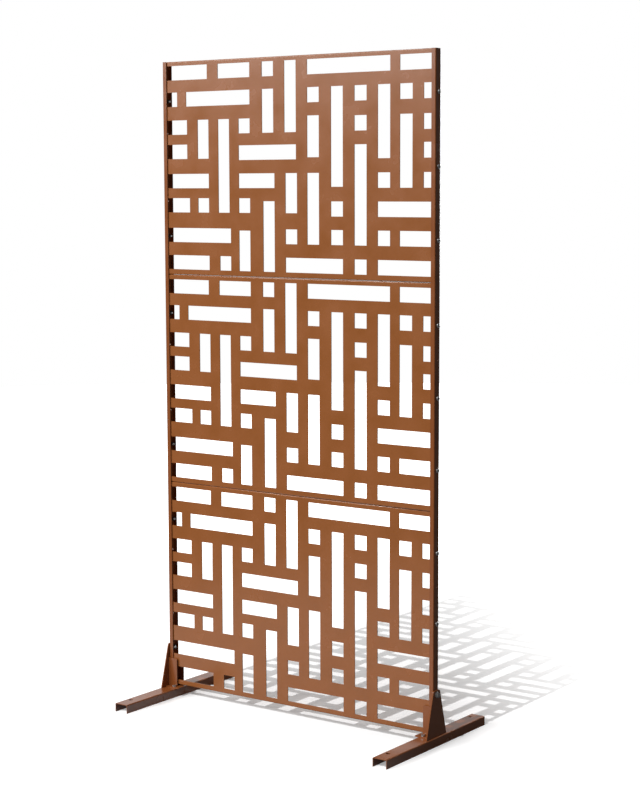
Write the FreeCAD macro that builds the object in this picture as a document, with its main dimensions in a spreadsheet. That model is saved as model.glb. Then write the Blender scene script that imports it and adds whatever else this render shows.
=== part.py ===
"""Garden privacy screen: three laser-cut steel trays bolted between two channel posts on two channel feet.

Millimetres. X runs along the screen, Y from front to back and Z up. The origin is on the ground, in
the middle of the two feet.
"""
import FreeCAD, Part
import os
import Sketcher

Vector = FreeCAD.Vector
Constraint = Sketcher.Constraint

# Driving dimensions: the name of each cell, its value in millimetres and what it measures.
SIZES = (
    ("frame_width", 912, "over the outer faces of the two posts"),
    ("post_depth", 25, "web of the post channel, front to back"),
    ("post_flange", 13, "flange of the post channel"),
    ("post_wall", 1.5, "sheet of the posts"),
    ("post_bend", 2.5, "outer bend radius of the posts"),
    ("panel_height", 597, "one tray"),
    ("panel_gap", 3, "seam between two trays"),
    ("panel_lift", 5, "lowest tray above the base plates of the brackets"),
    ("panel_depth", 20, "folded edge of a tray"),
    ("panel_wall", 2, "sheet of the trays"),
    ("panel_bend", 3, "outer bend radius of the trays"),
    ("panel_setback", 3, "face of the trays behind the face of the posts"),
    ("panel_clearance", 0.3, "between a tray and the web of a post"),
    ("corner_relief", 3, "square notch where two folded edges meet"),
    ("side_rim", 9, "plain margin at the sides of the lattice"),
    ("top_rim", 12, "plain margin above the lattice"),
    ("bottom_rim", 14, "plain margin below the lattice"),
    ("slot_width", 39, "one column of the lattice"),
    ("slot_height", 40, "one row of the lattice"),
    ("screw_inset", 110, "top edge of a tray to its first screw"),
    ("screw_setback", 3.5, "screws and spare holes behind the middle of the post"),
    ("spare_drop", 90, "spare hole below a screw"),
    ("spare_hole", 5, "spare hole through a post and its tray, to join the next screen"),
    ("foot_length", 488, "foot channel, front to back"),
    ("foot_width", 44, "web of the foot channel"),
    ("foot_height", 25, "foot channel"),
    ("foot_wall", 2, "sheet of the feet"),
    ("foot_bend", 3, "outer bend radius of the feet"),
    ("foot_overhang", 6.5, "foot beyond the outer face of the post"),
    ("anchor_hole", 12, "ground anchor hole in a foot"),
    ("anchor_front", 49, "front end of a foot to its anchor hole"),
    ("anchor_rear", 28, "rear end of a foot to its anchor hole"),
    ("anchor_offset", 7, "anchor holes off the middle of the foot"),
    ("bracket_wall", 3, "plate of the brackets"),
    ("bracket_clearance", 0.3, "between a bracket and its post"),
    ("gusset_bottom", 98, "gusset at the foot"),
    ("gusset_top", 31, "gusset at its top"),
    ("gusset_height", 127, "gusset above the foot"),
    ("gusset_corner", 6, "rounding of the top corners of the gusset"),
    ("gusset_bolt_drop", 12, "top of the gusset to its bolt"),
    ("cheek_overlap", 17, "cheek plate beyond the flange of the post"),
    ("cheek_height", 82, "cheek plate above the base plate"),
    ("cheek_corner", 4, "rounding of the free top corner of a cheek plate"),
    ("base_overhang", 9, "base plate beyond the inner side of the foot"),
    ("base_depth", 60, "base plate, front to back"),
    ("foot_bolt_spacing", 45, "between the two bolts of a bracket and its foot"),
    ("foot_bolt_offset", 9.5, "bolts of a bracket inwards of the middle of the foot"),
    ("small_thread", 6, "panel screws and foot bolts"),
    ("large_thread", 8, "gusset bolts"),
    ("hole_clearance", 0.6, "hole over its thread"),
    ("thread_clearance", 0.1, "bore of a nut or washer over its thread"),
    ("screw_head", 12.5, "head of a panel screw, diameter"),
    ("screw_head_height", 3.8, "head of a panel screw"),
    ("screw_socket", 4, "hexagon socket of a panel screw, across corners"),
    ("screw_socket_depth", 2, "hexagon socket of a panel screw"),
    ("screw_length", 14, "panel screw under its head"),
    ("small_hexagon", 11.5, "head and nut of the small thread, across corners"),
    ("small_nut_height", 5, "nut of the small thread"),
    ("small_head_height", 4, "head of a foot bolt"),
    ("foot_bolt_length", 16, "foot bolt under its head"),
    ("large_hexagon", 14.6, "head and nut of the large thread, across corners"),
    ("large_nut_height", 6.5, "nut of the large thread"),
    ("large_head_height", 5.3, "head of a gusset bolt"),
    ("large_washer", 17, "washer of the large thread"),
    ("washer_height", 1.6, "washer of the large thread"),
    ("gusset_bolt_length", 20, "gusset bolt under its head"),
)

PANELS = ("panel_top", "panel_middle", "panel_bottom")
SCREWS_PER_SIDE = 3
SPARES_PER_SIDE = 2

# The lattice is drawn on a field of this width and height, which is then fitted between the rims.
FIELD_WIDTH = 887
FIELD_HEIGHT = 571
DRAWN_SLOT_WIDTH = 39
DRAWN_SLOT_HEIGHT = 40

# Where each column of slots starts, from the left side of the field, and each row, from its top.
COLUMNS = {"A": 0, "B": 35, "C": 43, "D": 71, "E": 108, "F": 112, "G": 185, "H": 189, "I": 257,
           "J": 338, "K": 341, "L": 414, "M": 417, "N": 490, "O": 568, "P": 644, "Q": 718,
           "R": 787, "S": 860}
ROWS = {1: 0, 2: 74, 3: 149, 4: 152, 5: 220, 6: 225, 7: 228, 8: 299, 9: 302, 10: 370, 11: 378,
        12: 454, 13: 459, 14: 531}
LAST_COLUMN = "S"

# The openings: first and last column, first and last row. Those of one band are cut together.
BANDS = (
    (("A", "E", 1, 1), ("G", "I", 1, 1), ("J", "J", 1, 1), ("L", "L", 1, 4), ("N", "Q", 1, 1),
     ("R", "S", 1, 1)),
    (("A", "A", 2, 2), ("D", "I", 2, 2), ("J", "J", 2, 4), ("N", "N", 2, 2), ("O", "O", 2, 8),
     ("P", "P", 2, 2), ("Q", "Q", 2, 6), ("R", "R", 2, 2), ("S", "S", 2, 2)),
    (("A", "B", 4, 4), ("F", "F", 4, 5), ("G", "G", 4, 10), ("I", "I", 4, 4), ("N", "N", 3, 5),
     ("P", "P", 4, 4), ("R", "R", 4, 9), ("S", "S", 4, 4)),
    (("A", "B", 5, 5), ("I", "L", 6, 6), ("P", "P", 7, 12), ("S", "S", 6, 6)),
    (("A", "F", 9, 9), ("I", "K", 9, 9), ("M", "M", 9, 10), ("N", "N", 9, 12), ("Q", "Q", 9, 9),
     ("S", "S", 9, 9)),
    (("A", "C", 10, 10), ("F", "F", 10, 10), ("I", "I", 10, 10), ("K", "K", 11, 14),
     ("O", "O", 11, 11), ("Q", "S", 11, 11)),
    (("A", "H", 12, 12), ("I", "I", 13, 14), ("M", "M", 12, 12), ("O", "O", 12, 12),
     ("Q", "Q", 12, 12), ("R", "S", 12, 12)),
    (("A", "F", 14, 14), ("H", "H", 14, 14), ("M", "O", 14, 14), ("P", "P", 14, 14),
     ("Q", "S", 14, 14)),
)

# How nearly an edge runs along an axis, as a cosine, and how nearly two lengths agree.
PARALLEL = 0.999
SAME_LENGTH = 0.01

document = FreeCAD.newDocument("garden_privacy_screen")
sheet = document.addObject("Spreadsheet::Sheet", "sizes")


class Length:
    """A length together with the formula on the sheet that gives it."""

    def __init__(self, value, formula):
        self.value = value
        self.formula = formula

    def __add__(self, other):
        other = as_length(other)
        return Length(self.value + other.value, f"({self.formula} + {other.formula})")

    def __sub__(self, other):
        other = as_length(other)
        return Length(self.value - other.value, f"({self.formula} - {other.formula})")

    def __mul__(self, factor):
        factor = as_length(factor)
        return Length(self.value * factor.value, f"({self.formula} * {factor.formula})")

    def __truediv__(self, divisor):
        divisor = as_length(divisor)
        return Length(self.value / divisor.value, f"({self.formula} / {divisor.formula})")

    def __neg__(self):
        return Length(-self.value, f"(0 - {self.formula})")


def as_length(number):
    """A plain number as a Length, and a Length as it is."""
    if isinstance(number, Length):
        return number
    return Length(float(number), repr(number))


ZERO = as_length(0)


def fill_sheet():
    """Write the driving dimensions, one row each: name, value and meaning."""
    for row, (name, value, meaning) in enumerate(SIZES, start=1):
        sheet.set(f"A{row}", name)
        sheet.set(f"B{row}", str(value))
        sheet.set(f"C{row}", meaning)
        sheet.setAlias(f"B{row}", name)
    document.recompute()


def size(name):
    """The driving dimension of that name."""
    return Length(float(sheet.get(name)), f"sizes.{name}")


def bind(target, path, length):
    """Set a property or constraint of an object from a formula on the sheet."""
    target.setExpression(path, as_length(length).formula)


# ---------------------------------------------------------------- bodies and sketches


def new_body(label):
    """An empty part design body."""
    body = document.addObject("PartDesign::Body", label)
    body.Label = label
    return body


def new_sketch(body, name, role, offset=ZERO):
    """A sketch on one of the body's origin planes, moved along the plane's normal by the offset."""
    sketch = body.newObject("Sketcher::SketchObject", name)
    planes = [plane for plane in body.Origin.OriginFeatures if plane.Role == role]
    sketch.AttachmentSupport = (planes[0], "")
    sketch.MapMode = "FlatFace"
    bind(sketch, "AttachmentOffset.Base.z", offset)
    return sketch


def add_constraints(sketch, constraints):
    """Add (constraint, length or None) pairs, and bind those that have a length."""
    first = sketch.ConstraintCount
    sketch.addConstraint([constraint for constraint, _ in constraints])
    for index, (_, length) in enumerate(constraints):
        if length is not None:
            bind(sketch, f"Constraints[{first + index}]", length)


def square_outline(sketch, corners):
    """A closed outline of level and upright lines through the corners, in turn level and upright."""
    count = len(corners)
    first = sketch.GeometryCount
    points = [Vector(x.value, y.value, 0) for x, y in corners]
    sketch.addGeometry([Part.LineSegment(points[i], points[(i + 1) % count]) for i in range(count)])
    constraints = []
    for i, (x, y) in enumerate(corners):
        line = first + i
        constraints.append((Constraint("Coincident", line, 2, first + (i + 1) % count, 1), None))
        if i % 2 == 0:
            constraints.append((Constraint("Horizontal", line), None))
            constraints.append((Constraint("DistanceY", -1, 1, line, 1, y.value), y))
        else:
            constraints.append((Constraint("Vertical", line), None))
            constraints.append((Constraint("DistanceX", -1, 1, line, 1, x.value), x))
    add_constraints(sketch, constraints)


def rectangle(sketch, left, right, bottom, top):
    """A rectangle between two uprights and two levels."""
    square_outline(sketch, [(left, bottom), (right, bottom), (right, top), (left, top)])


def trapezium(sketch, bottom_width, top_width, bottom, top):
    """A trapezium, the same on both sides of the upright axis."""
    corners = [(-bottom_width / 2, bottom), (bottom_width / 2, bottom),
               (top_width / 2, top), (-top_width / 2, top)]
    first = sketch.GeometryCount
    points = [Vector(x.value, y.value, 0) for x, y in corners]
    sketch.addGeometry([Part.LineSegment(points[i], points[(i + 1) % 4]) for i in range(4)])
    constraints = []
    for i, (x, y) in enumerate(corners):
        line = first + i
        constraints.append((Constraint("Coincident", line, 2, first + (i + 1) % 4, 1), None))
        constraints.append((Constraint("DistanceX", -1, 1, line, 1, x.value), x))
        constraints.append((Constraint("DistanceY", -1, 1, line, 1, y.value), y))
    add_constraints(sketch, constraints)


def circle(sketch, x, y, diameter):
    """A circle about the point x, y."""
    index = sketch.addGeometry(Part.Circle(Vector(x.value, y.value, 0), Vector(0, 0, 1),
                                           diameter.value / 2))
    add_constraints(sketch, [
        (Constraint("DistanceX", -1, 1, index, 3, x.value), x),
        (Constraint("DistanceY", -1, 1, index, 3, y.value), y),
        (Constraint("Diameter", index, diameter.value), diameter)])


def hexagon(sketch, across_corners):
    """A regular hexagon about the sketch's origin, with a corner on its level axis."""
    radius = across_corners.value / 2
    corners = [Vector(radius, 0, 0)]
    turn = FreeCAD.Rotation(Vector(0, 0, 1), 60)
    for _ in range(5):
        corners.append(turn.multVec(corners[-1]))
    sketch.addGeometry([Part.LineSegment(corners[i], corners[(i + 1) % 6]) for i in range(6)])
    ring = sketch.addGeometry(Part.Circle(Vector(0, 0, 0), Vector(0, 0, 1), radius), True)
    constraints = [(Constraint("Coincident", i, 2, (i + 1) % 6, 1), None) for i in range(6)]
    constraints += [(Constraint("Equal", i, i + 1), None) for i in range(5)]
    constraints += [(Constraint("PointOnObject", i, 1, ring), None) for i in range(6)]
    constraints.append((Constraint("Coincident", ring, 3, -1, 1), None))
    constraints.append((Constraint("PointOnObject", 0, 1, -1), None))
    constraints.append((Constraint("Diameter", ring, across_corners.value), across_corners))
    add_constraints(sketch, constraints)


def pad(body, sketch, length, reverse=False):
    """Pad a sketch by a length, along its normal or against it."""
    feature = body.newObject("PartDesign::Pad", sketch.Name + "_pad")
    feature.Profile = sketch
    feature.Reversed = reverse
    bind(feature, "Length", length)
    finish_feature(body, feature)
    return feature


def pocket(body, sketch, length=None, reverse=False):
    """Cut a sketch by a length, or right through both ways where there is none."""
    before = body.Shape.Volume
    feature = body.newObject("PartDesign::Pocket", sketch.Name + "_pocket")
    feature.Profile = sketch
    feature.Reversed = reverse
    if length is None:
        feature.Type = "ThroughAll"
        feature.Midplane = True
    else:
        bind(feature, "Length", length)
    finish_feature(body, feature)
    if not feature.Shape.Volume < before:
        raise RuntimeError(feature.Name + " cuts nothing")
    return feature


def fillet(body, name, radius, wanted):
    """Round the edges of the body for which wanted(edge) is true."""
    base = body.Tip
    edges = [f"Edge{i}" for i, edge in enumerate(base.Shape.Edges, start=1) if wanted(edge)]
    feature = body.newObject("PartDesign::Fillet", name)
    feature.Base = (base, edges)
    bind(feature, "Radius", radius)
    finish_feature(body, feature)
    return feature


def finish_feature(body, feature):
    """Make the feature the body's last one and build it."""
    body.Tip = feature
    document.recompute()


def straight_along(edge, axis):
    """Whether an edge is a straight line along the axis, given as a unit vector."""
    if not isinstance(edge.Curve, Part.Line):
        return False
    return abs(edge.Curve.Direction.dot(axis)) > PARALLEL


def near(value, length):
    """Whether a measure of the shape is that length."""
    return abs(value - length.value) < SAME_LENGTH


ALONG_X = Vector(1, 0, 0)
ALONG_Y = Vector(0, 1, 0)
ALONG_Z = Vector(0, 0, 1)


def place(target, x, y, z, turned=False):
    """Place an object, turned by half a turn about the upright where it stands on the left."""
    turn = 180 if turned else 0
    target.Placement = FreeCAD.Placement(Vector(0, 0, 0), FreeCAD.Rotation(ALONG_Z, turn))
    bind(target, "Placement.Base.x", x)
    bind(target, "Placement.Base.y", y)
    bind(target, "Placement.Base.z", z)


# ---------------------------------------------------------------- places that several parts share


def panel_width():
    """A tray, between the webs of the two posts."""
    return size("frame_width") - (size("post_wall") + size("panel_clearance")) * 2


def panel_bottom(index):
    """Height of the lower edge of a tray, counted from the top one."""
    trays_below = len(PANELS) - 1 - index
    return base_top() + size("panel_lift") + (size("panel_height") + size("panel_gap")) * trays_below


def post_top():
    """Top of the posts, level with the top tray."""
    return panel_bottom(0) + size("panel_height")


def gusset_station():
    """Height of the gusset bolt above the ground."""
    return size("foot_height") + size("gusset_height") - size("gusset_bolt_drop")


def screw_level(index):
    """Height of a screw above the lower edge of its tray. The last one lines up with the gusset bolt."""
    highest = size("panel_height") - size("screw_inset")
    lowest = gusset_station() - panel_bottom(len(PANELS) - 1)
    return highest + (lowest - highest) * (index / (SCREWS_PER_SIDE - 1))


def spare_level(index):
    """Height of a spare hole above the lower edge of its tray."""
    return screw_level(index) - size("spare_drop")


def screw_stations():
    """Heights of the screws up one post, all but the lowest, which is the gusset bolt's."""
    stations = []
    for panel in range(len(PANELS)):
        stations += [panel_bottom(panel) + screw_level(index) for index in range(SCREWS_PER_SIDE)]
    return stations[:-1]


def spare_stations():
    """Heights of the spare holes up one post."""
    stations = []
    for panel in range(len(PANELS)):
        stations += [panel_bottom(panel) + spare_level(index) for index in range(SPARES_PER_SIDE)]
    return stations


def small_hole():
    """Hole for the small thread."""
    return size("small_thread") + size("hole_clearance")


def large_hole():
    """Hole for the large thread."""
    return size("large_thread") + size("hole_clearance")


def foot_middle():
    """Middle of a foot, from the middle of the screen."""
    return size("frame_width") / 2 + size("foot_overhang") - size("foot_width") / 2


def base_top():
    """Top of the base plate of a bracket."""
    return size("foot_height") + size("bracket_wall")


def fold_inside():
    """Inner face of a tray's folded side edge, inwards of the outer face of the post."""
    return size("post_wall") + size("panel_clearance") + size("panel_wall")


# ---------------------------------------------------------------- the trays


def column_start(column):
    """Left side of a column of slots, from the tray's left edge."""
    field = panel_width() - size("side_rim") * 2
    stretch = (field - size("slot_width")) / (FIELD_WIDTH - DRAWN_SLOT_WIDTH)
    return size("side_rim") + stretch * COLUMNS[column]


def column_end(column):
    """Right side of a column of slots. The last column runs out to the rim."""
    if column == LAST_COLUMN:
        return panel_width() - size("side_rim")
    return column_start(column) + size("slot_width")


def row_top(row):
    """Top of a row of slots, from the tray's lower edge."""
    field = size("panel_height") - size("top_rim") - size("bottom_rim")
    stretch = (field - size("slot_height")) / (FIELD_HEIGHT - DRAWN_SLOT_HEIGHT)
    return size("panel_height") - size("top_rim") - stretch * ROWS[row]


def cut_lattice(body):
    """Cut the openings through the face of a tray, one sketch for each band."""
    for number, openings in enumerate(BANDS, start=1):
        sketch = new_sketch(body, f"{body.Name}_band_{number}", "XZ_Plane")
        for first, last, upper, lower in openings:
            rectangle(sketch, column_start(first), column_end(last),
                      row_top(lower) - size("slot_height"), row_top(upper))
        pocket(body, sketch, size("panel_wall"))


def make_panel(label, index):
    """One tray: a flat sheet with four folded edges, a lattice of slots and screw holes.

    Its own origin is at the left end of its lower front edge.
    """
    body = new_body(label)
    width = panel_width()
    height = size("panel_height")
    depth = size("panel_depth")
    wall = size("panel_wall")

    face = new_sketch(body, label + "_outline", "XZ_Plane")
    rectangle(face, ZERO, width, ZERO, height)
    pad(body, face, depth, reverse=True)
    fillet(body, label + "_bend", size("panel_bend"), lambda edge: near(edge.BoundBox.YMax, ZERO))

    hollow = new_sketch(body, label + "_hollow", "XZ_Plane", -wall)
    rectangle(hollow, wall, width - wall, wall, height - wall)
    pocket(body, hollow, depth - wall)
    fillet(body, label + "_inner_bend", size("panel_bend") - wall,
           lambda edge: near(edge.BoundBox.YMax, wall) and near(edge.BoundBox.YMin, wall))

    relief = size("corner_relief")
    notches = new_sketch(body, label + "_corner_notches", "XZ_Plane", -size("panel_bend"))
    for left, right in ((ZERO, relief), (width - relief, width)):
        rectangle(notches, left, right, ZERO, relief)
        rectangle(notches, left, right, height - relief, height)
    pocket(body, notches, depth - size("panel_bend"))

    holes = new_sketch(body, label + "_side_holes", "YZ_Plane")
    post_middle = size("post_depth") / 2 - size("panel_setback")
    screw_line = post_middle + size("screw_setback")
    for screw in range(SCREWS_PER_SIDE):
        if index == len(PANELS) - 1 and screw == SCREWS_PER_SIDE - 1:
            circle(holes, post_middle, screw_level(screw), large_hole())
        else:
            circle(holes, screw_line, screw_level(screw), small_hole())
    for spare in range(SPARES_PER_SIDE):
        circle(holes, screw_line, spare_level(spare), size("spare_hole"))
    pocket(body, holes)

    cut_lattice(body)
    place(body, -width / 2, size("panel_setback") - size("post_depth") / 2, panel_bottom(index))
    return body


# ---------------------------------------------------------------- the posts


def make_post(label, turned):
    """A post: an upright channel, open towards the trays, with the holes of their screws.

    Its own origin is on the ground, in the middle of its outer face, and it lies towards -X.
    """
    body = new_body(label)
    half = size("post_depth") / 2
    wall = size("post_wall")
    tip = -size("post_flange")
    section = new_sketch(body, label + "_section", "XY_Plane", base_top())
    square_outline(section, [(tip, -half), (ZERO, -half), (ZERO, half), (tip, half),
                             (tip, half - wall), (-wall, half - wall),
                             (-wall, wall - half), (tip, wall - half)])
    pad(body, section, post_top() - base_top())
    fillet(body, label + "_bend", size("post_bend"),
           lambda edge: straight_along(edge, ALONG_Z) and near(edge.BoundBox.XMax, ZERO))
    fillet(body, label + "_inner_bend", size("post_bend") - wall,
           lambda edge: straight_along(edge, ALONG_Z) and near(edge.BoundBox.XMax, -wall))

    holes = new_sketch(body, label + "_holes", "YZ_Plane")
    screw_line = -size("screw_setback") if turned else size("screw_setback")
    for height in screw_stations():
        circle(holes, screw_line, height, small_hole())
    for height in spare_stations():
        circle(holes, screw_line, height, size("spare_hole"))
    circle(holes, ZERO, gusset_station(), large_hole())
    pocket(body, holes)
    place_at_side(body, turned)
    return body


def place_at_side(target, turned):
    """Place an object whose own origin is on the ground below the outer face of a post."""
    half = size("frame_width") / 2
    place(target, -half if turned else half, ZERO, ZERO, turned)


# ---------------------------------------------------------------- the feet


def make_foot(label, side):
    """A foot: a channel lying open side down, with two anchor holes and two bracket bolt holes.

    Its own origin is on the ground in its middle. Side is -1 on the left and 1 on the right.
    """
    body = new_body(label)
    half = size("foot_width") / 2
    wall = size("foot_wall")
    height = size("foot_height")
    section = new_sketch(body, label + "_section", "XZ_Plane", size("foot_length") / 2)
    square_outline(section, [(-half, ZERO), (wall - half, ZERO), (wall - half, height - wall),
                             (half - wall, height - wall), (half - wall, ZERO), (half, ZERO),
                             (half, height), (-half, height)][::-1])
    pad(body, section, size("foot_length"), reverse=True)
    fillet(body, label + "_bend", size("foot_bend"),
           lambda edge: straight_along(edge, ALONG_Y) and near(edge.BoundBox.ZMax, height))
    fillet(body, label + "_inner_bend", size("foot_bend") - wall,
           lambda edge: straight_along(edge, ALONG_Y) and near(edge.BoundBox.ZMax, height - wall))

    holes = new_sketch(body, label + "_holes", "XY_Plane")
    end = size("foot_length") / 2
    circle(holes, -size("anchor_offset"), size("anchor_front") - end, size("anchor_hole"))
    circle(holes, -size("anchor_offset"), end - size("anchor_rear"), size("anchor_hole"))
    for y in (-size("foot_bolt_spacing") / 2, size("foot_bolt_spacing") / 2):
        circle(holes, size("foot_bolt_offset") * -side, y, small_hole())
    pocket(body, holes)
    place(body, foot_middle() * side, ZERO, ZERO)
    return body


# ---------------------------------------------------------------- the brackets


def make_bracket(label, turned):
    """A welded bracket: base plate, outer gusset and two cheek plates that take the post between them.

    Its own origin is on the ground, below the outer face of the post, and it lies towards -X.
    """
    body = new_body(label)
    wall = size("bracket_wall")
    gap = size("bracket_clearance")
    outer = gap + wall
    base_inner = size("foot_overhang") - size("foot_width") - size("base_overhang")
    base_half = size("base_depth") / 2

    base = new_sketch(body, label + "_base", "XY_Plane", size("foot_height"))
    rectangle(base, base_inner, outer, -base_half, base_half)
    pad(body, base, wall)

    gusset = new_sketch(body, label + "_gusset", "YZ_Plane", gap)
    gusset_crown = size("foot_height") + size("gusset_height")
    trapezium(gusset, size("gusset_bottom"), size("gusset_top"), size("foot_height"), gusset_crown)
    pad(body, gusset, wall)
    fillet(body, label + "_gusset_corners", size("gusset_corner"),
           lambda edge: straight_along(edge, ALONG_X) and near(edge.BoundBox.ZMin, gusset_crown))

    cheeks = new_sketch(body, label + "_cheeks", "XY_Plane", base_top())
    cheek_tip = -size("post_flange") - size("cheek_overlap")
    near_face = size("post_depth") / 2 + gap
    rectangle(cheeks, cheek_tip, gap + wall / 2, -near_face - wall, -near_face)
    rectangle(cheeks, cheek_tip, gap + wall / 2, near_face, near_face + wall)
    pad(body, cheeks, size("cheek_height"))
    cheek_crown = base_top() + size("cheek_height")
    fillet(body, label + "_cheek_corners", size("cheek_corner"),
           lambda edge: straight_along(edge, ALONG_Y) and near(edge.BoundBox.ZMin, cheek_crown)
           and near(edge.BoundBox.XMin, cheek_tip))

    bolt_x = size("foot_overhang") - size("foot_width") / 2 - size("foot_bolt_offset")
    base_holes = new_sketch(body, label + "_base_holes", "XY_Plane", size("foot_height"))
    for y in (-size("foot_bolt_spacing") / 2, size("foot_bolt_spacing") / 2):
        circle(base_holes, bolt_x, y, small_hole())
    pocket(body, base_holes, wall, reverse=True)

    bolt_hole = new_sketch(body, label + "_gusset_hole", "YZ_Plane", gap)
    circle(bolt_hole, ZERO, gusset_station(), large_hole())
    pocket(body, bolt_hole, wall, reverse=True)
    place_at_side(body, turned)
    return body


# ---------------------------------------------------------------- the fasteners


def make_screw_master():
    """A panel screw: low round head with a hexagon socket. Its head rests on z = 0 and points up."""
    body = new_body("screw_master")
    head = new_sketch(body, "screw_head_circle", "XY_Plane")
    circle(head, ZERO, ZERO, size("screw_head"))
    pad(body, head, size("screw_head_height"))
    shank = new_sketch(body, "screw_shank_circle", "XY_Plane")
    circle(shank, ZERO, ZERO, size("small_thread"))
    pad(body, shank, size("screw_length"), reverse=True)
    socket = new_sketch(body, "screw_socket_hexagon", "XY_Plane", size("screw_head_height"))
    hexagon(socket, size("screw_socket"))
    pocket(body, socket, size("screw_socket_depth"))
    return body


def make_bolt_master(name, across_corners, head_height, thread, length):
    """A hexagon bolt. Its head rests on z = 0 and points up."""
    body = new_body(name)
    head = new_sketch(body, name + "_head", "XY_Plane")
    hexagon(head, across_corners)
    pad(body, head, head_height)
    shank = new_sketch(body, name + "_shank", "XY_Plane")
    circle(shank, ZERO, ZERO, thread)
    pad(body, shank, length, reverse=True)
    return body


def make_nut_master(name, across_corners, height, thread):
    """A hexagon nut. It rests on z = 0 and hangs down from it."""
    body = new_body(name)
    outline = new_sketch(body, name + "_outline", "XY_Plane")
    hexagon(outline, across_corners)
    circle(outline, ZERO, ZERO, thread + size("thread_clearance"))
    pad(body, outline, height, reverse=True)
    return body


def make_washer_master():
    """A flat washer. It lies on z = 0."""
    body = new_body("washer_master")
    ring = new_sketch(body, "washer_ring", "XY_Plane")
    circle(ring, ZERO, ZERO, size("large_washer"))
    circle(ring, ZERO, ZERO, size("large_thread") + size("thread_clearance"))
    pad(body, ring, size("washer_height"))
    return body


def fastener_group(label, master, places, axis_level, turned):
    """Copies of a fastener as separate solids in one node.

    Places are outwards from the outer face of the post, backwards from its middle and up from the
    ground. A fastener whose axis is level points outwards.
    """
    half = size("frame_width") / 2
    outwards = FreeCAD.Rotation(ALONG_Y, 90 if axis_level else 0)
    turn = FreeCAD.Rotation(ALONG_Z, 180 if turned else 0)
    copies = []
    for index, (x, y, z) in enumerate(places, start=1):
        copy = document.addObject("App::Link", f"{label}_{index}")
        copy.LinkedObject = master
        copy.Placement = FreeCAD.Placement(Vector(0, 0, 0), turn.multiply(outwards))
        bind(copy, "Placement.Base.x", -half - x if turned else half + x)
        bind(copy, "Placement.Base.y", y)
        bind(copy, "Placement.Base.z", z)
        copies.append(copy)
    group = document.addObject("Part::Compound", label)
    group.Label = label
    group.Links = copies
    return group


def make_fasteners():
    """The screws, bolts, washers and nuts of both sides."""
    small_nut = make_nut_master("small_nut_master", size("small_hexagon"), size("small_nut_height"),
                                size("small_thread"))
    large_nut = make_nut_master("large_nut_master", size("large_hexagon"), size("large_nut_height"),
                                size("large_thread"))
    foot_bolt = make_bolt_master("foot_bolt_master", size("small_hexagon"),
                                 size("small_head_height"), size("small_thread"),
                                 size("foot_bolt_length"))
    gusset_bolt = make_bolt_master("gusset_bolt_master", size("large_hexagon"),
                                   size("large_head_height"), size("large_thread"),
                                   size("gusset_bolt_length"))
    screw = make_screw_master()
    washer = make_washer_master()

    gusset_face = size("bracket_clearance") + size("bracket_wall")
    foot_bolt_x = size("foot_overhang") - size("foot_width") / 2 - size("foot_bolt_offset")
    bolt_rows = (-size("foot_bolt_spacing") / 2, size("foot_bolt_spacing") / 2)
    foot_roof = size("foot_height") - size("foot_wall")
    screw_line = size("screw_setback")
    nodes = (
        ("panel_screws", screw, [(ZERO, screw_line, z) for z in screw_stations()], True),
        ("panel_nuts", small_nut, [(-fold_inside(), screw_line, z) for z in screw_stations()], True),
        ("gusset_washer", washer, [(gusset_face, ZERO, gusset_station())], True),
        ("gusset_bolt", gusset_bolt,
         [(gusset_face + size("washer_height"), ZERO, gusset_station())], True),
        ("gusset_nut", large_nut, [(-fold_inside(), ZERO, gusset_station())], True),
        ("foot_bolts", foot_bolt, [(foot_bolt_x, y, base_top()) for y in bolt_rows], False),
        ("foot_nuts", small_nut, [(foot_bolt_x, y, foot_roof) for y in bolt_rows], False),
    )
    groups = []
    for name, master, places, axis_level in nodes:
        groups.append(fastener_group(name + "_left", master, places, axis_level, turned=True))
        groups.append(fastener_group(name + "_right", master, places, axis_level, turned=False))
    return groups


# ---------------------------------------------------------------- the whole screen


def make_screen():
    """Every sub-part of the screen."""
    parts = [make_panel(label, index) for index, label in enumerate(PANELS)]
    parts += [make_post("post_left", turned=True), make_post("post_right", turned=False)]
    parts += [make_foot("foot_left", side=-1), make_foot("foot_right", side=1)]
    parts += [make_bracket("bracket_left", turned=True), make_bracket("bracket_right", turned=False)]
    parts += make_fasteners()
    return parts


def check(parts):
    """Stop if anything in the document failed or a sub-part has no sound shape."""
    for item in document.Objects:
        if "Invalid" in item.State or "Error" in item.State:
            raise RuntimeError(item.Label + " failed: " + ", ".join(item.State))
    for part in parts:
        if part.Shape.isNull() or not part.Shape.isValid():
            raise RuntimeError(part.Label + " has no sound shape")


def export(parts):
    """Write each sub-part to its own file and print what it holds."""
    os.makedirs("parts", exist_ok=True)
    for part in parts:
        part.Shape.exportStep(os.path.join("parts", part.Label + ".step"))
        print(part.Label, len(part.Shape.Solids), "solids", round(part.Shape.Volume), "mm3")


fill_sheet()
screen = make_screen()
document.recompute()
check(screen)
export(screen)
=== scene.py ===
"""Finishes, trays, fasteners, light and camera of the garden privacy screen.

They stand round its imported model, in metres. X runs along the screen, Y from front to back and Z
up, with the origin on the ground.
"""
import math

import bmesh
import bpy
from mathutils import Matrix, Vector


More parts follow.
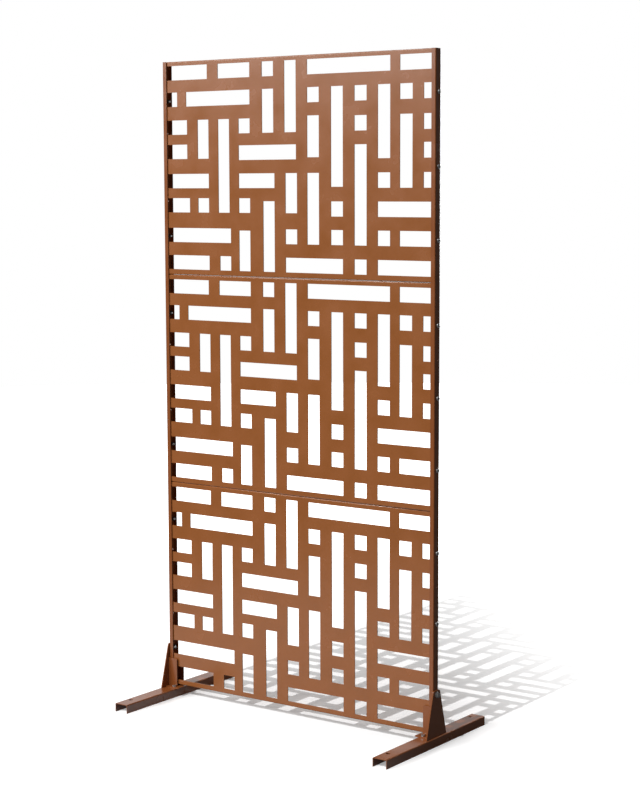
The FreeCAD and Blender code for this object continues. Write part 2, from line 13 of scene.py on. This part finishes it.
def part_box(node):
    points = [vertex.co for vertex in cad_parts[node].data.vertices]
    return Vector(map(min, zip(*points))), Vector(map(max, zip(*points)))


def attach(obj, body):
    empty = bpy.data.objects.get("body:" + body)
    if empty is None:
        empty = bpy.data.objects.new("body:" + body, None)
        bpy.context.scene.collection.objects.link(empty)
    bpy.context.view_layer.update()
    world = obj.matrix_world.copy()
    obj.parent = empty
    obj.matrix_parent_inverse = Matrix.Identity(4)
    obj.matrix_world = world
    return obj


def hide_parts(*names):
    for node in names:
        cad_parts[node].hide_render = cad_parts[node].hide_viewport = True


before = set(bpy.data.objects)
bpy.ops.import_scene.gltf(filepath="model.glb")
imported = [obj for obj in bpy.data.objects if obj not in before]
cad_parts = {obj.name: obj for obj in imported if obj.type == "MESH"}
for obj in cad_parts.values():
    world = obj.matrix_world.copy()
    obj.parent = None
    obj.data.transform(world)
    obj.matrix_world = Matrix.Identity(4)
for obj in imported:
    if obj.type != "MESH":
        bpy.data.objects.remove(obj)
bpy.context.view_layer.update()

scene = bpy.context.scene
MM = 0.001

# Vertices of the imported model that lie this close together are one.
WELD_DISTANCE = 0.01 * MM


# ---------------------------------------------------------------- node trees

WHITE = "#FFFFFF"


def colour(code):
    """An sRGB hex code as a linear colour."""
    channels = [int(code[start:start + 2], 16) / 255 for start in (1, 3, 5)]
    linear = [c / 12.92 if c <= 0.04045 else ((c + 0.055) / 1.055) ** 2.4 for c in channels]
    return (*linear, 1.0)


def add(tree, kind, inputs=None, **settings):
    """Add a node with its settings. An input is a value, or the output that it is linked to."""
    node = tree.nodes.new(kind)
    for name, value in settings.items():
        setattr(node, name, value)
    for name, value in (inputs or {}).items():
        if isinstance(value, bpy.types.NodeSocket):
            tree.links.new(value, node.inputs[name])
        else:
            node.inputs[name].default_value = value
    return node


def per_metre(millimetres):
    """The scale of a pattern whose features are that wide."""
    return 1 / (millimetres * MM)


def new_material(name):
    """An empty node material."""
    material = bpy.data.materials.new(name)
    material.use_nodes = True
    material.node_tree.nodes.clear()
    return material


# ---------------------------------------------------------------- coats and metals

# Noise seldom leaves this range.
NOISE_LOW = 0.3
NOISE_HIGH = 0.7

# Widths and depths of the coat's patterns are in millimetres. The peel of a real coat is 1 to 3 mm
# wide. It is drawn at 4 mm, a little over a pixel, so that it still shows.
CLOUD_WIDTH = 90
CLOUD_DETAIL = 3.0
CLOUD_BREAKUP = 0.55
SPECK_WIDTH = 9
SPECK_DETAIL = 4.0
SPECK_BREAKUP = 0.6
PEEL_WIDTH = 4
PEEL_DETAIL = 2.0
PEEL_BREAKUP = 0.5
PEEL_DEPTH = 0.12
PEEL_STRENGTH = 0.35

# Clouds have the dark tone below the first value and the light tone above the second. Specks set
# how much of the clouds shows over the coat's plain tone.
CLOUD_DARK = 0.35
CLOUD_LIGHT = 0.68
CLOUD_SHARE_LEAST = 0.25
CLOUD_SHARE_MOST = 0.75
COAT_ROUGHNESS = 0.25
COAT_ROUGHNESS_SPREAD = 0.04

# The mottling of zinc, in millimetres. It is finer than a pixel and shows from close by.
MOTTLE_WIDTH = 1.2
MOTTLE_DETAIL = 3.0
MOTTLE_DEPTH = 0.05
MOTTLE_STRENGTH = 0.3


def powder_coat(name, tone, light_tone, dark_tone):
    """Polyester powder, sprayed and baked on steel sheet: a satin, slightly cloudy rust brown.

    The film is thicker in some places than in others, which shows as soft clouds of tone, and it
    sets in shallow waves, the orange peel, which break up the sheen.
    """
    material = new_material(name)
    tree = material.node_tree
    place = add(tree, "ShaderNodeTexCoord").outputs["Object"]
    clouds = add(tree, "ShaderNodeTexNoise",
                 {"Vector": place, "Scale": per_metre(CLOUD_WIDTH), "Detail": CLOUD_DETAIL,
                  "Roughness": CLOUD_BREAKUP})
    specks = add(tree, "ShaderNodeTexNoise",
                 {"Vector": place, "Scale": per_metre(SPECK_WIDTH), "Detail": SPECK_DETAIL,
                  "Roughness": SPECK_BREAKUP})
    peel = add(tree, "ShaderNodeTexNoise",
               {"Vector": place, "Scale": per_metre(PEEL_WIDTH), "Detail": PEEL_DETAIL,
                "Roughness": PEEL_BREAKUP})

    cloud_tone = add(tree, "ShaderNodeValToRGB", {"Fac": clouds.outputs["Fac"]})
    dark_end, light_end = cloud_tone.color_ramp.elements
    dark_end.position = CLOUD_DARK
    dark_end.color = colour(dark_tone)
    light_end.position = CLOUD_LIGHT
    light_end.color = colour(light_tone)
    cloud_share = add(tree, "ShaderNodeMapRange",
                      {"Value": specks.outputs["Fac"],
                       "From Min": NOISE_LOW, "From Max": NOISE_HIGH,
                       "To Min": CLOUD_SHARE_LEAST, "To Max": CLOUD_SHARE_MOST})
    coat_tone = add(tree, "ShaderNodeMix",
                    {"Factor": cloud_share.outputs["Result"], "A": colour(tone),
                     "B": cloud_tone.outputs["Color"]}, data_type="RGBA")
    sheen = add(tree, "ShaderNodeMapRange",
                {"Value": clouds.outputs["Fac"],
                 "From Min": NOISE_LOW, "From Max": NOISE_HIGH,
                 "To Min": COAT_ROUGHNESS - COAT_ROUGHNESS_SPREAD,
                 "To Max": COAT_ROUGHNESS + COAT_ROUGHNESS_SPREAD})
    waves = add(tree, "ShaderNodeBump",
                {"Height": peel.outputs["Fac"], "Strength": PEEL_STRENGTH,
                 "Distance": PEEL_DEPTH * MM})
    surface = add(tree, "ShaderNodeBsdfPrincipled",
                  {"Base Color": coat_tone.outputs["Result"], "Roughness": sheen.outputs["Result"],
                   "Normal": waves.outputs["Normal"]})
    add(tree, "ShaderNodeOutputMaterial", {"Surface": surface.outputs["BSDF"]})
    return material


def zinc_plate(name, light_tone, dark_tone, smooth, rough):
    """Zinc on turned and headed steel: a grey metal with a soft mottled sheen."""
    material = new_material(name)
    tree = material.node_tree
    place = add(tree, "ShaderNodeTexCoord").outputs["Object"]
    mottle = add(tree, "ShaderNodeTexNoise",
                 {"Vector": place, "Scale": per_metre(MOTTLE_WIDTH), "Detail": MOTTLE_DETAIL})
    tone = add(tree, "ShaderNodeMix",
               {"Factor": mottle.outputs["Fac"], "A": colour(dark_tone), "B": colour(light_tone)},
               data_type="RGBA")
    sheen = add(tree, "ShaderNodeMapRange",
                {"Value": mottle.outputs["Fac"], "To Min": smooth, "To Max": rough})
    marks = add(tree, "ShaderNodeBump",
                {"Height": mottle.outputs["Fac"], "Strength": MOTTLE_STRENGTH,
                 "Distance": MOTTLE_DEPTH * MM})
    surface = add(tree, "ShaderNodeBsdfPrincipled",
                  {"Base Color": tone.outputs["Result"], "Metallic": 1.0,
                   "Roughness": sheen.outputs["Result"], "Normal": marks.outputs["Normal"]})
    add(tree, "ShaderNodeOutputMaterial", {"Surface": surface.outputs["BSDF"]})
    return material


# ---------------------------------------------------------------- posts, feet and brackets

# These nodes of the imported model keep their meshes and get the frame's coat.
FRAME_NODES = ("post_left", "post_right", "foot_left", "foot_right",
               "bracket_left", "bracket_right")


def assign(node, material):
    """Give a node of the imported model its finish."""
    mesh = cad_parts[node].data
    mesh.materials.clear()
    mesh.materials.append(material)


# ---------------------------------------------------------------- trays

# How far a fold reaches from the top or the bottom of its tray, and how far it is moved there.
FOLD_REACH = 6 * MM
SEAM_MOVE = 0.9 * MM

# A face is flat where the largest part of its normal is at least this.
FLAT_NORMAL = 0.9999


def tray(node, material, raised, lowered):
    """A tray whose top fold stands that much higher, and whose bottom fold that much lower.

    The folds of two trays nearly touch, so that no light shows between them. The flats stay flat,
    and the folds are smooth.
    """
    shape = bmesh.new()
    shape.from_mesh(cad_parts[node].data)
    bmesh.ops.remove_doubles(shape, verts=shape.verts, dist=WELD_DISTANCE)
    low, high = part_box(node)
    for corner in shape.verts:
        if corner.co.z > high[2] - FOLD_REACH:
            corner.co.z += raised
        elif corner.co.z < low[2] + FOLD_REACH:
            corner.co.z -= lowered
    shape.normal_update()
    for face in shape.faces:
        face.smooth = max(abs(part) for part in face.normal) < FLAT_NORMAL
    mesh = bpy.data.meshes.new(node + "_detailed")
    shape.to_mesh(mesh)
    shape.free()
    mesh.materials.append(material)
    piece = bpy.data.objects.new(node + "_detailed", mesh)
    scene.collection.objects.link(piece)
    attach(piece, "root")
    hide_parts(node)


# ---------------------------------------------------------------- fasteners

# A spun shape has this many steps, and its vertices on the axis are merged within that distance.
ROUND_STEPS = 24
POLE_DISTANCE = 0.001 * MM

# Faces that meet at more than this angle have a sharp edge between them.
SHARP_ANGLE = math.radians(35)

# Solids are put in order by their place to a tenth of a millimetre.
PLACE_DIGITS = 4

# A thread's core lies this share of its pitch below its ridges.
THREAD_DEPTH = 0.55
SMALL_THREAD = 6 * MM
SMALL_PITCH = 1.0 * MM
LARGE_THREAD = 8 * MM
LARGE_PITCH = 1.25 * MM

# A hexagon's width across its flats is this share of its width across its corners. It is turned so
# that its flats face front and back. A head's upper corners are cut by a share of its width.
HEXAGON_SIDES = 6
HEXAGON_STEP = math.tau / HEXAGON_SIDES
HEXAGON_FLATS = math.cos(HEXAGON_STEP / 2)
HEXAGON_TURN = Matrix.Rotation(HEXAGON_STEP / 2, 4, "Z")
HEXAGON_CHAMFER = 0.05

SCREW_HEAD_HEIGHT = 3.8 * MM
SMALL_HEAD_HEIGHT = 4 * MM
LARGE_HEAD_HEIGHT = 5.3 * MM

# A screw's rim, and the depth and the lower edge of its socket, as shares of its head's height.
SCREW_RIM = 0.22
SOCKET_DEPTH = 0.55
SOCKET_EDGE = 0.02

# The socket's radius as a share of the head's, and the radius of its floor as a share of its own.
SOCKET_RADIUS = 0.34
SOCKET_FLOOR = 0.96
CROWN_STEPS = 6

# The rounding of a washer's outer edges as a share of its height.
WASHER_EDGE = 0.2


def solids_of(node):
    """The separate solids of a node, from low to high, each as its lowest and highest corner."""
    shape = bmesh.new()
    shape.from_mesh(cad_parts[node].data)
    bmesh.ops.remove_doubles(shape, verts=shape.verts, dist=WELD_DISTANCE)
    boxes = []
    waiting = set(shape.verts)
    while waiting:
        solid = [waiting.pop()]
        for vertex in solid:
            for edge in vertex.link_edges:
                neighbour = edge.other_vert(vertex)
                if neighbour in waiting:
                    waiting.remove(neighbour)
                    solid.append(neighbour)
        low = Vector([min(vertex.co[axis] for vertex in solid) for axis in range(3)])
        high = Vector([max(vertex.co[axis] for vertex in solid) for axis in range(3)])
        boxes.append((low, high))
    shape.free()
    return sorted(boxes, key=lambda box: (round(box[0].z, PLACE_DIGITS),
                                          round(box[0].y, PLACE_DIGITS)))


def spun(shape, profile):
    """Turn a profile of radius and height about the upright axis."""
    points = [shape.verts.new((radius, 0, height)) for radius, height in profile]
    edges = [shape.edges.new(pair) for pair in zip(points, points[1:])]
    bmesh.ops.spin(shape, geom=points + edges, cent=(0, 0, 0), axis=(0, 0, 1), angle=math.tau,
                   steps=ROUND_STEPS, use_merge=True)
    bmesh.ops.remove_doubles(shape, verts=shape.verts, dist=POLE_DISTANCE)


def threaded_shank(thread, length, pitch):
    """The profile of a shank below its head: a plain neck, ridges and a chamfered end."""
    outer = thread / 2
    core = outer - THREAD_DEPTH * pitch
    profile = [(outer, 0.0), (outer, -pitch)]
    ridges = int((length - 2 * pitch) / pitch)
    for ridge in range(1, ridges + 1):
        profile += [(core, -(ridge + 0.5) * pitch), (outer, -(ridge + 1) * pitch)]
    return profile + [(core, -length), (0.0, -length)]


def round_screw(shape, diameter, height, length):
    """A round head with a hexagon socket, on a threaded shank. The head stands on z = 0."""
    radius = diameter / 2
    rim = height * SCREW_RIM
    socket = radius * SOCKET_RADIUS
    floor = height * (1 - SOCKET_DEPTH)
    profile = [(0.0, floor), (socket * SOCKET_FLOOR, floor),
               (socket, floor + height * SOCKET_EDGE)]
    for step in range(CROWN_STEPS + 1):
        turn = math.pi / 2 * step / CROWN_STEPS
        profile.append((socket + (radius - socket) * math.sin(turn),
                        rim + (height - rim) * math.cos(turn)))
    profile.append((radius, 0.0))
    spun(shape, profile + threaded_shank(SMALL_THREAD, length, SMALL_PITCH))
    for corner in shape.verts:
        reach = corner.co.xy.length
        if corner.co.z > 0 and POLE_DISTANCE < reach < socket + WELD_DISTANCE:
            turn = math.atan2(corner.co.y, corner.co.x) % HEXAGON_STEP - HEXAGON_STEP / 2
            corner.co.xy *= HEXAGON_FLATS / math.cos(turn)


def hexagon_bolt(shape, across_corners, height, length, thread, pitch):
    """A hexagon bolt. Its head stands on z = 0 and its shank points down."""
    radius = across_corners / 2
    head = bmesh.ops.create_cone(shape, cap_ends=True, segments=HEXAGON_SIDES, radius1=radius,
                                 radius2=radius, depth=height,
                                 matrix=Matrix.Translation((0, 0, height / 2)) @ HEXAGON_TURN)
    corners = [vertex for vertex in head["verts"] if vertex.co.z > height - WELD_DISTANCE]
    bmesh.ops.bevel(shape, geom=corners, offset=across_corners * HEXAGON_CHAMFER,
                    affect="VERTICES", segments=1, profile=0.5, material=-1)
    spun(shape, [(0.0, 0.0)] + threaded_shank(thread, length, pitch))


def loop_edges(vertices):
    """The edges of a closed loop of vertices."""
    return list({edge for vertex in vertices for edge in vertex.link_edges
                 if edge.other_vert(vertex) in vertices})


def hexagon_nut(shape, across_corners, height, bore):
    """A hexagon nut that hangs down from z = 0."""
    ends = []
    for level in (0.0, -height):
        place = Matrix.Translation((0, 0, level))
        outline = bmesh.ops.create_circle(shape, segments=HEXAGON_SIDES, radius=across_corners / 2,
                                          matrix=place @ HEXAGON_TURN)["verts"]
        inner = bmesh.ops.create_circle(shape, segments=ROUND_STEPS, radius=bore / 2,
                                        matrix=place)["verts"]
        ends.append((loop_edges(outline), loop_edges(inner)))
    (top_outline, top_bore), (low_outline, low_bore) = ends
    for first, second in ((top_outline, low_outline), (top_bore, low_bore),
                          (top_outline, top_bore), (low_outline, low_bore)):
        bmesh.ops.bridge_loops(shape, edges=first + second)


def washer(shape, diameter, height, bore):
    """A stamped washer that lies on z = 0, with its outer edges slightly rounded."""
    outer = diameter / 2
    edge = height * WASHER_EDGE
    inner = bore / 2
    spun(shape, [(inner, 0.0), (outer - edge, 0.0), (outer, edge), (outer, height - edge),
                 (outer - edge, height), (inner, height), (inner, 0.0)])


def build_screw(shape, across, along):
    """A panel screw of that width and length. Returns how far it stands above its seat."""
    round_screw(shape, across, SCREW_HEAD_HEIGHT, along - SCREW_HEAD_HEIGHT)
    return SCREW_HEAD_HEIGHT


def build_foot_bolt(shape, across, along):
    """A small bolt of that width across its flats and that length."""
    hexagon_bolt(shape, across / HEXAGON_FLATS, SMALL_HEAD_HEIGHT, along - SMALL_HEAD_HEIGHT,
                 SMALL_THREAD, SMALL_PITCH)
    return SMALL_HEAD_HEIGHT


def build_gusset_bolt(shape, across, along):
    """A large bolt of that width across its flats and that length."""
    hexagon_bolt(shape, across / HEXAGON_FLATS, LARGE_HEAD_HEIGHT, along - LARGE_HEAD_HEIGHT,
                 LARGE_THREAD, LARGE_PITCH)
    return LARGE_HEAD_HEIGHT


def build_small_nut(shape, across, along):
    """A small nut of that width across its flats and that height, all of it below its seat."""
    hexagon_nut(shape, across / HEXAGON_FLATS, along, SMALL_THREAD)
    return 0.0


def build_large_nut(shape, across, along):
    """A large nut of that width across its flats and that height, all of it below its seat."""
    hexagon_nut(shape, across / HEXAGON_FLATS, along, LARGE_THREAD)
    return 0.0


def build_washer(shape, across, along):
    """A washer of that diameter and height."""
    washer(shape, across, along, LARGE_THREAD)
    return along


def outwards(side):
    """The turn that points a fastener's head away from the screen on that side."""
    return Matrix.Rotation(math.radians(90 * side), 4, "Y")


def fasteners(node, material, side, build):
    """Detailed fasteners in place of the plain solids of a node.

    Side is -1 on the left, 1 on the right and 0 where they stand upright. Build makes one of them
    on z = 0 from the width and length of its solid, and says how far it stands above z = 0.
    """
    whole = bmesh.new()
    for low, high in solids_of(node):
        single = bmesh.new()
        middle = (low + high) / 2
        along = high.x - low.x if side else high.z - low.z
        head_end = build(single, high.y - low.y, along)
        if side:
            outer = high.x if side > 0 else low.x
            place = Vector((outer - side * head_end, middle.y, middle.z))
            turned = Matrix.Translation(place) @ outwards(side)
        else:
            turned = Matrix.Translation((middle.x, middle.y, high.z - head_end))
        bmesh.ops.recalc_face_normals(single, faces=single.faces)
        bmesh.ops.transform(single, matrix=turned, verts=single.verts)
        single_mesh = bpy.data.meshes.new("single_fastener")
        single.to_mesh(single_mesh)
        single.free()
        whole.from_mesh(single_mesh)
        bpy.data.meshes.remove(single_mesh)
    mesh = bpy.data.meshes.new(node + "_detailed")
    whole.to_mesh(mesh)
    whole.free()
    mesh.shade_smooth()
    mesh.set_sharp_from_angle(angle=SHARP_ANGLE)
    mesh.materials.append(material)
    piece = bpy.data.objects.new(node + "_detailed", mesh)
    scene.collection.objects.link(piece)
    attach(piece, "root")
    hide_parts(node)


def make_fasteners(bright, shaded_dull):
    """The screws, bolts, washers and nuts of both sides. The nuts are duller than the heads, and
    darker with painted shade.
    """
    for side, name in ((-1, "left"), (1, "right")):
        fasteners("panel_screws_" + name, bright, side, build_screw)
        fasteners("panel_nuts_" + name, shaded_dull, side, build_small_nut)
        fasteners("gusset_washer_" + name, bright, side, build_washer)
        fasteners("gusset_bolt_" + name, bright, side, build_gusset_bolt)
        fasteners("gusset_nut_" + name, shaded_dull, side, build_large_nut)
        fasteners("foot_bolts_" + name, bright, 0, build_foot_bolt)
        fasteners("foot_nuts_" + name, shaded_dull, 0, build_small_nut)


# ---------------------------------------------------------------- studio

# Coats and metal mirror a soft round patch of the world, the sweep, as white, and the rest of it as
# a dim room. The sweep is a painted reflection, as it sheds no light on the screen. Its edge and
# middle are cosines of the angle from its direction.
SWEEP_DIRECTION = (-0.82, 0.57, 0.0)
SWEEP_EDGE = 0.78
SWEEP_MIDDLE = 0.95
ROOM_LIGHT = 0.09

FLOOR_RADIUS = 9.0
FLOOR_SEGMENTS = 96
BOUNCE_TONE = "#606060"

# Painted glow pales the shadow along a direction that leads away from the screen and to its right.
FADE_DIRECTION = (0.81, 0.58, 0.0)
FADE_START = 0.4
FADE_END = 1.27

# The painted glow also pales it a little in front of the screen and beside it, and fully where
# it is far away.
FRONT_START = -0.02
FRONT_END = -0.2
BESIDE_START = 0.465
BESIDE_END = 0.53
EDGE_LIFT = 0.32
FAR_START = 1.9
FAR_END = 2.8

# The painted glow that the paper gives off where the shadow is full, and where it has paled to
# white.
LIFT_NEAR = 0.05
LIFT_FAR = 1.0

# Painted reflection: coats and metal mirror the paper round this place as white, and the rest
# of it as a dim room.
MIRRORED_CENTRE = (-0.35, -0.9, 0.0)
MIRRORED_NEAR = 0.8
MIRRORED_FAR = 1.25
MIRRORED_SHARE = 0.8

# The sun shines from straight in front and throws the lattice onto the floor behind the screen. Its
# elevation and its spread are in degrees.
SUN_ELEVATION = 48.8
SUN_SPREAD = 0.5
SUN_STRENGTH = 1.75

# The softbox hangs high on the front left. The trays mirror it to the camera just above their top.
SOFTBOX_PLACE = (-3.5, -4.6, 3.55)
SOFTBOX_TARGET = (0.0, 0.0, 1.2)
SOFTBOX_SIZE = (5.0, 2.4)
SOFTBOX_POWER = 290

# The back light stands behind the screen, so that the back of the trays shows its colour.
BACK_PLACE = (-0.1, 5.5, 1.8)
BACK_TARGET = (-0.1, 0.0, 0.9)
BACK_SIZE = (1.8, 1.6)
BACK_POWER = 190

# The photograph's camera, solved from the lattice. Its turns are in degrees, and its lens and the
# width of its sensor in millimetres.
CAMERA_PLACE = (3.0264, -4.0949, 1.4799)
CAMERA_TURNS = (83.4683, 0.1621, 35.7119)
CAMERA_LENS = 104.915
SENSOR_WIDTH = 36


def seen_share(tree, mirrored_share):
    """How white a ray sees the background: fully, or by the given share in a reflection.

    The rays that light the screen see none of it.
    """
    path = add(tree, "ShaderNodeLightPath")
    mirrored = add(tree, "ShaderNodeMath", {0: path.outputs["Is Glossy Ray"], 1: mirrored_share},
                   operation="MULTIPLY")
    through = add(tree, "ShaderNodeMath", {0: path.outputs["Is Transmission Ray"],
                                           1: mirrored.outputs["Value"]}, operation="MAXIMUM")
    seen = add(tree, "ShaderNodeMath", {0: path.outputs["Is Camera Ray"],
                                        1: through.outputs["Value"]}, operation="MAXIMUM")
    return seen.outputs["Value"]


def make_world():
    """White where the camera looks, a dim room for the light that reaches the screen, and a sweep
    that coats and metal mirror as a painted reflection.
    """
    world = bpy.data.worlds.new("studio")
    world.use_nodes = True
    scene.world = world
    tree = world.node_tree
    tree.nodes.clear()
    direction = add(tree, "ShaderNodeTexCoord").outputs["Generated"]
    towards = add(tree, "ShaderNodeVectorMath", {0: direction, 1: SWEEP_DIRECTION},
                  operation="DOT_PRODUCT")
    painted_sweep = add(tree, "ShaderNodeMapRange",
                {"Value": towards.outputs["Value"], "From Min": SWEEP_EDGE,
                 "From Max": SWEEP_MIDDLE}, interpolation_type="SMOOTHSTEP")
    room = add(tree, "ShaderNodeBackground", {"Color": colour(WHITE), "Strength": ROOM_LIGHT})
    white = add(tree, "ShaderNodeBackground", {"Color": colour(WHITE), "Strength": 1.0})
    both = add(tree, "ShaderNodeMixShader",
               {"Fac": seen_share(tree, painted_sweep.outputs["Result"]),
                1: room.outputs["Background"], 2: white.outputs["Background"]})
    add(tree, "ShaderNodeOutputWorld", {"Surface": both.outputs["Shader"]})


def painted_shadow_lift(tree, place):
    """The painted glow that the paper gives off at a place, which pales the shadow there."""
    along = add(tree, "ShaderNodeVectorMath", {0: place, 1: FADE_DIRECTION},
                operation="DOT_PRODUCT")
    faded = add(tree, "ShaderNodeMapRange",
                {"Value": along.outputs["Value"], "From Min": FADE_START, "From Max": FADE_END})
    parts = add(tree, "ShaderNodeSeparateXYZ", {"Vector": place})
    front = add(tree, "ShaderNodeMapRange",
                {"Value": parts.outputs["Y"], "From Min": FRONT_START, "From Max": FRONT_END,
                 "To Max": EDGE_LIFT})
    sideways = add(tree, "ShaderNodeMath", {0: parts.outputs["X"]}, operation="ABSOLUTE")
    beside = add(tree, "ShaderNodeMapRange",
                 {"Value": sideways.outputs["Value"], "From Min": BESIDE_START,
                  "From Max": BESIDE_END, "To Max": EDGE_LIFT})
    edges = add(tree, "ShaderNodeMath", {0: front.outputs["Result"], 1: beside.outputs["Result"]},
                operation="MAXIMUM")
    reach = add(tree, "ShaderNodeVectorMath", {0: place}, operation="LENGTH")
    far = add(tree, "ShaderNodeMapRange",
              {"Value": reach.outputs["Value"], "From Min": FAR_START, "From Max": FAR_END})
    outside = add(tree, "ShaderNodeMath", {0: edges.outputs["Value"], 1: far.outputs["Result"]},
                  operation="MAXIMUM")
    pale = add(tree, "ShaderNodeMath", {0: faded.outputs["Result"], 1: outside.outputs["Value"]},
               operation="MAXIMUM")
    lift = add(tree, "ShaderNodeMapRange",
               {"Value": pale.outputs["Value"], "To Min": LIFT_NEAR, "To Max": LIFT_FAR})
    return lift.outputs["Result"]


def painted_reflection_share(tree, place):
    """How white coats and metal mirror the paper at a place, as a painted reflection."""
    offset = add(tree, "ShaderNodeVectorMath", {0: place, 1: MIRRORED_CENTRE},
                 operation="DISTANCE")
    share = add(tree, "ShaderNodeMapRange",
                {"Value": offset.outputs["Value"], "From Min": MIRRORED_NEAR,
                 "From Max": MIRRORED_FAR, "To Min": MIRRORED_SHARE, "To Max": 0.0},
                interpolation_type="SMOOTHSTEP")
    return share.outputs["Result"]


def studio_paper():
    """Matt white paper. A painted glow pales its shadow by place, and it bounces little light."""
    material = new_material("matt_white_studio_paper")
    tree = material.node_tree
    place = add(tree, "ShaderNodeTexCoord").outputs["Object"]
    painted_glow = add(tree, "ShaderNodeEmission", {"Strength": painted_shadow_lift(tree, place)})
    paper = add(tree, "ShaderNodeBsdfDiffuse", {"Color": colour(WHITE)})
    shown = add(tree, "ShaderNodeAddShader",
                {0: painted_glow.outputs["Emission"], 1: paper.outputs["BSDF"]})
    bounce = add(tree, "ShaderNodeBsdfDiffuse", {"Color": colour(BOUNCE_TONE)})
    both = add(tree, "ShaderNodeMixShader",
               {"Fac": seen_share(tree, painted_reflection_share(tree, place)), 1: bounce.outputs["BSDF"],
                2: shown.outputs["Shader"]})
    add(tree, "ShaderNodeOutputMaterial", {"Surface": both.outputs["Shader"]})
    return material


def make_floor():
    """A round floor of studio paper."""
    shape = bmesh.new()
    bmesh.ops.create_circle(shape, cap_ends=True, segments=FLOOR_SEGMENTS, radius=FLOOR_RADIUS)
    mesh = bpy.data.meshes.new("floor")
    shape.to_mesh(mesh)
    shape.free()
    mesh.materials.append(studio_paper())
    floor = bpy.data.objects.new("floor", mesh)
    scene.collection.objects.link(floor)


def aim(lamp, direction):
    """Turn a lamp so that it shines that way."""
    lamp.rotation_euler = Vector(direction).to_track_quat("-Z", "Y").to_euler()


def make_softbox(name, place, target, size, power):
    """A rectangular softbox that is aimed at a point."""
    lamp = bpy.data.objects.new(name, bpy.data.lights.new(name, "AREA"))
    lamp.data.shape = "RECTANGLE"
    lamp.data.size, lamp.data.size_y = size
    lamp.data.energy = power
    lamp.location = place
    aim(lamp, Vector(target) - Vector(place))
    scene.collection.objects.link(lamp)


def make_lamps():
    """A sun from the front, a large softbox from the front left and a light on the back."""
    sun = bpy.data.objects.new("sun", bpy.data.lights.new("sun", "SUN"))
    sun.data.energy = SUN_STRENGTH
    sun.data.angle = math.radians(SUN_SPREAD)
    slope = math.radians(SUN_ELEVATION)
    aim(sun, (0, math.cos(slope), -math.sin(slope)))
    scene.collection.objects.link(sun)

    make_softbox("softbox", SOFTBOX_PLACE, SOFTBOX_TARGET, SOFTBOX_SIZE, SOFTBOX_POWER)
    make_softbox("back_light", BACK_PLACE, BACK_TARGET, BACK_SIZE, BACK_POWER)


def make_camera():
    """The photograph's camera."""
    camera = bpy.data.objects.new("camera", bpy.data.cameras.new("camera"))
    camera.location = CAMERA_PLACE
    camera.rotation_euler = [math.radians(turn) for turn in CAMERA_TURNS]
    camera.data.sensor_fit = "HORIZONTAL"
    camera.data.sensor_width = SENSOR_WIDTH
    camera.data.lens = CAMERA_LENS
    scene.collection.objects.link(camera)
    scene.camera = camera


# ---------------------------------------------------------------- the whole scene

# The powder on the trays is a little lighter than that on the posts, feet and brackets.
tray_coat = powder_coat("satin_powder_coat_trays", "#975A2B", "#9F6036", "#905427")
frame_coat = powder_coat("satin_powder_coat_frame", "#8C4F26", "#94562E", "#854921")

# Bright plating gives heads and washers a pale glint. The nuts are rougher, and darker with
# painted shade for the channels and feet that hide them, which dims their glints.
bright_zinc = zinc_plate("bright_zinc_plated_steel", "#BEBDBC", "#9D9C9B", smooth=0.36, rough=0.55)
shaded_dull_zinc = zinc_plate("zinc_steel_dark_with_painted_shade", "#6A6A6A", "#484848", smooth=0.5, rough=0.7)

tray("panel_top", tray_coat, raised=0.0, lowered=SEAM_MOVE)
tray("panel_middle", tray_coat, raised=SEAM_MOVE, lowered=SEAM_MOVE)
tray("panel_bottom", tray_coat, raised=SEAM_MOVE, lowered=0.0)
for node_name in FRAME_NODES:
    assign(node_name, frame_coat)
make_fasteners(bright_zinc, shaded_dull_zinc)
make_world()
make_floor()
make_lamps()
make_camera()
scene.view_settings.view_transform = "Standard"
